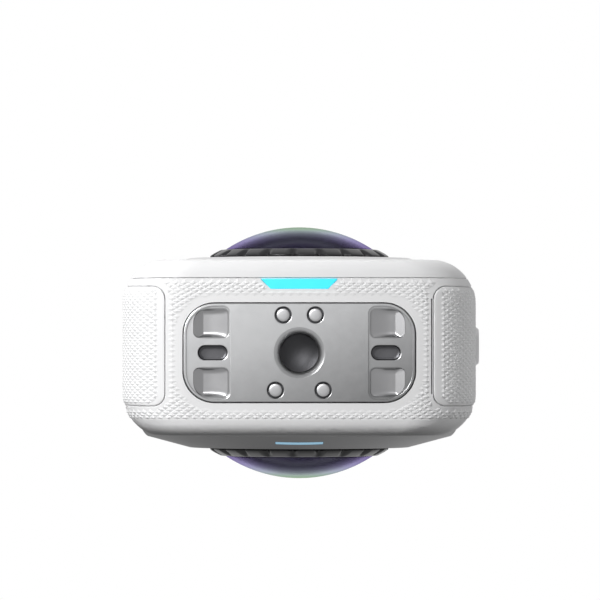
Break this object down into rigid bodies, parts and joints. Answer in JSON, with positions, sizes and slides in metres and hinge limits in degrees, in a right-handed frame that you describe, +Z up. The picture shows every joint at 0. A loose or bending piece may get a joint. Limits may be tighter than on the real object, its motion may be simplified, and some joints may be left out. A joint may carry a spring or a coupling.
{
  "type": "360 degree camera",
  "caption": "Tall slim pocket camera with opposed domed lenses, a rear touchscreen, side doors for battery and port, and a tripod plate in its base.",
  "frame": {"origin": "bottom centre of the camera, at the centre of the tripod thread's mouth in the outer face of the mount plate", "axes": "+X right side with the port door, -Y front, +Y back with the touchscreen, +Z up along the body"},
  "size_m": [0.0472, 0.0372, 0.1138],
  "materials": {
    "white_shell": "satin",
    "white_cover": "satin",
    "plate_metal": "bead blasted satin",
    "magnet_steel": "satin",
    "screw_steel": "satin",
    "light_guide_front": "lit",
    "light_guide_rear": "lit",
    "screen_glass": "gloss",
    "screen_panel": "gloss",
    "alloy": "satin",
    "dark_plastic": "matt",
    "grey_plastic": "matt",
    "board_green": "satin",
    "shield_tin": "satin",
    "gold_contact": "satin",
    "rubber_grey": "matt",
    "rubber_black": "matt",
    "lens_black": "satin",
    "lens_glass": "coated gloss",
    "element_glass": "coated gloss",
    "button_white": "satin"
  },
  "bodies": {
    "camera_body": {"battery_contacts": "gold_contact", "battery_tray": "dark_plastic", "card_reader": "shield_tin", "front_cover": "white_cover", "front_fisheye_element": "element_glass", "front_image_sensor": "board_green", "front_lens_barrel": "lens_black", "front_lens_seat": "lens_black", "front_status_light": "light_guide_front", "heat_spreader": "alloy", "housing_screws": "screw_steel", "internal_frame": "alloy", "main_board": "board_green", "main_housing": "white_shell", "microphones": "shield_tin", "mount_plate": "plate_metal", "mount_plate_magnets": "magnet_steel", "port_board": "board_green", "port_hinge_pin": "screw_steel", "processor_shield": "shield_tin", "rear_button_board": "board_green", "rear_fisheye_element": "element_glass", "rear_image_sensor": "board_green", "rear_lens_barrel": "lens_black", "rear_lens_seat": "lens_black", "rear_status_light": "light_guide_rear", "screen_glass": "screen_glass", "screen_panel": "screen_panel", "side_button_board": "board_green", "speaker": "dark_plastic", "usb_socket": "shield_tin"},
    "shutter": {"shutter_button": "button_white"},
    "lens_switch": {"lens_switch_button": "button_white"},
    "power": {"power_button": "button_white"},
    "quick": {"quick_button": "button_white"},
    "battery": {"battery_pack": "dark_plastic", "battery_cover": "white_shell", "battery_seal": "rubber_grey"},
    "battery_catch": {"battery_latch": "grey_plastic"},
    "port_cover": {"port_door": "white_shell", "port_door_seal": "rubber_grey"},
    "port_catch": {"port_latch": "button_white"},
    "card": {"memory_card": "dark_plastic"},
    "front_guard_seal": {"front_lens_seal": "rubber_black"},
    "front_guard": {"front_lens_ring": "lens_black", "front_lens_dome": "lens_glass"},
    "rear_guard_seal": {"rear_lens_seal": "rubber_black"},
    "rear_guard": {"rear_lens_ring": "lens_black", "rear_lens_dome": "lens_glass"}
  },
  "joints": [
    {"name": "front_guard_pull", "type": "slide", "parent": "camera_body", "child": "front_guard_seal", "axis": [0, -1, 0], "range_m": [0, 0.015]},
    {"name": "front_guard_twist", "type": "hinge", "parent": "front_guard_seal", "child": "front_guard", "pos_m": [0, -0.014, 0.091], "axis": [0, -1, 0], "range_deg": [0, 45]},
    {"name": "rear_guard_pull", "type": "slide", "parent": "camera_body", "child": "rear_guard_seal", "axis": [0, 1, 0], "range_m": [0, 0.015]},
    {"name": "rear_guard_twist", "type": "hinge", "parent": "rear_guard_seal", "child": "rear_guard", "pos_m": [0, 0.014, 0.091], "axis": [0, 1, 0], "range_deg": [0, 45]},
    {"name": "shutter_press", "type": "slide", "parent": "camera_body", "child": "shutter", "axis": [0, -1, 0], "range_m": [0, 0.0004], "stiffness_N_per_m": 1000, "springref_m": -0.0005},
    {"name": "lens_switch_press", "type": "slide", "parent": "camera_body", "child": "lens_switch", "axis": [0, -1, 0], "range_m": [0, 0.0004], "stiffness_N_per_m": 1000, "springref_m": -0.0005},
    {"name": "power_press", "type": "slide", "parent": "camera_body", "child": "power", "axis": [-1, 0, 0], "range_m": [0, 0.0004], "stiffness_N_per_m": 1000, "springref_m": -0.0005},
    {"name": "quick_press", "type": "slide", "parent": "camera_body", "child": "quick", "axis": [-1, 0, 0], "range_m": [0, 0.0004], "stiffness_N_per_m": 1000, "springref_m": -0.0005},
    {"name": "battery_slide", "type": "slide", "parent": "camera_body", "child": "battery", "axis": [-1, 0, 0], "range_m": [0, 0.045]},
    {"name": "battery_latch_slide", "type": "slide", "parent": "battery", "child": "battery_catch", "axis": [0, 0, 1], "range_m": [0, 0.0022]},
    {"name": "port_door_swing", "type": "hinge", "parent": "camera_body", "child": "port_cover", "pos_m": [0.0209, 0, 0.036], "axis": [0, -1, 0], "range_deg": [0, 85]},
    {"name": "port_latch_slide", "type": "slide", "parent": "port_cover", "child": "port_catch", "axis": [0, 0, -1], "range_m": [0, 0.0025]},
    {"name": "card_slide", "type": "slide", "parent": "camera_body", "child": "card", "axis": [1, 0, 0], "range_m": [-0.0006, 0.0022]}
  ]
}
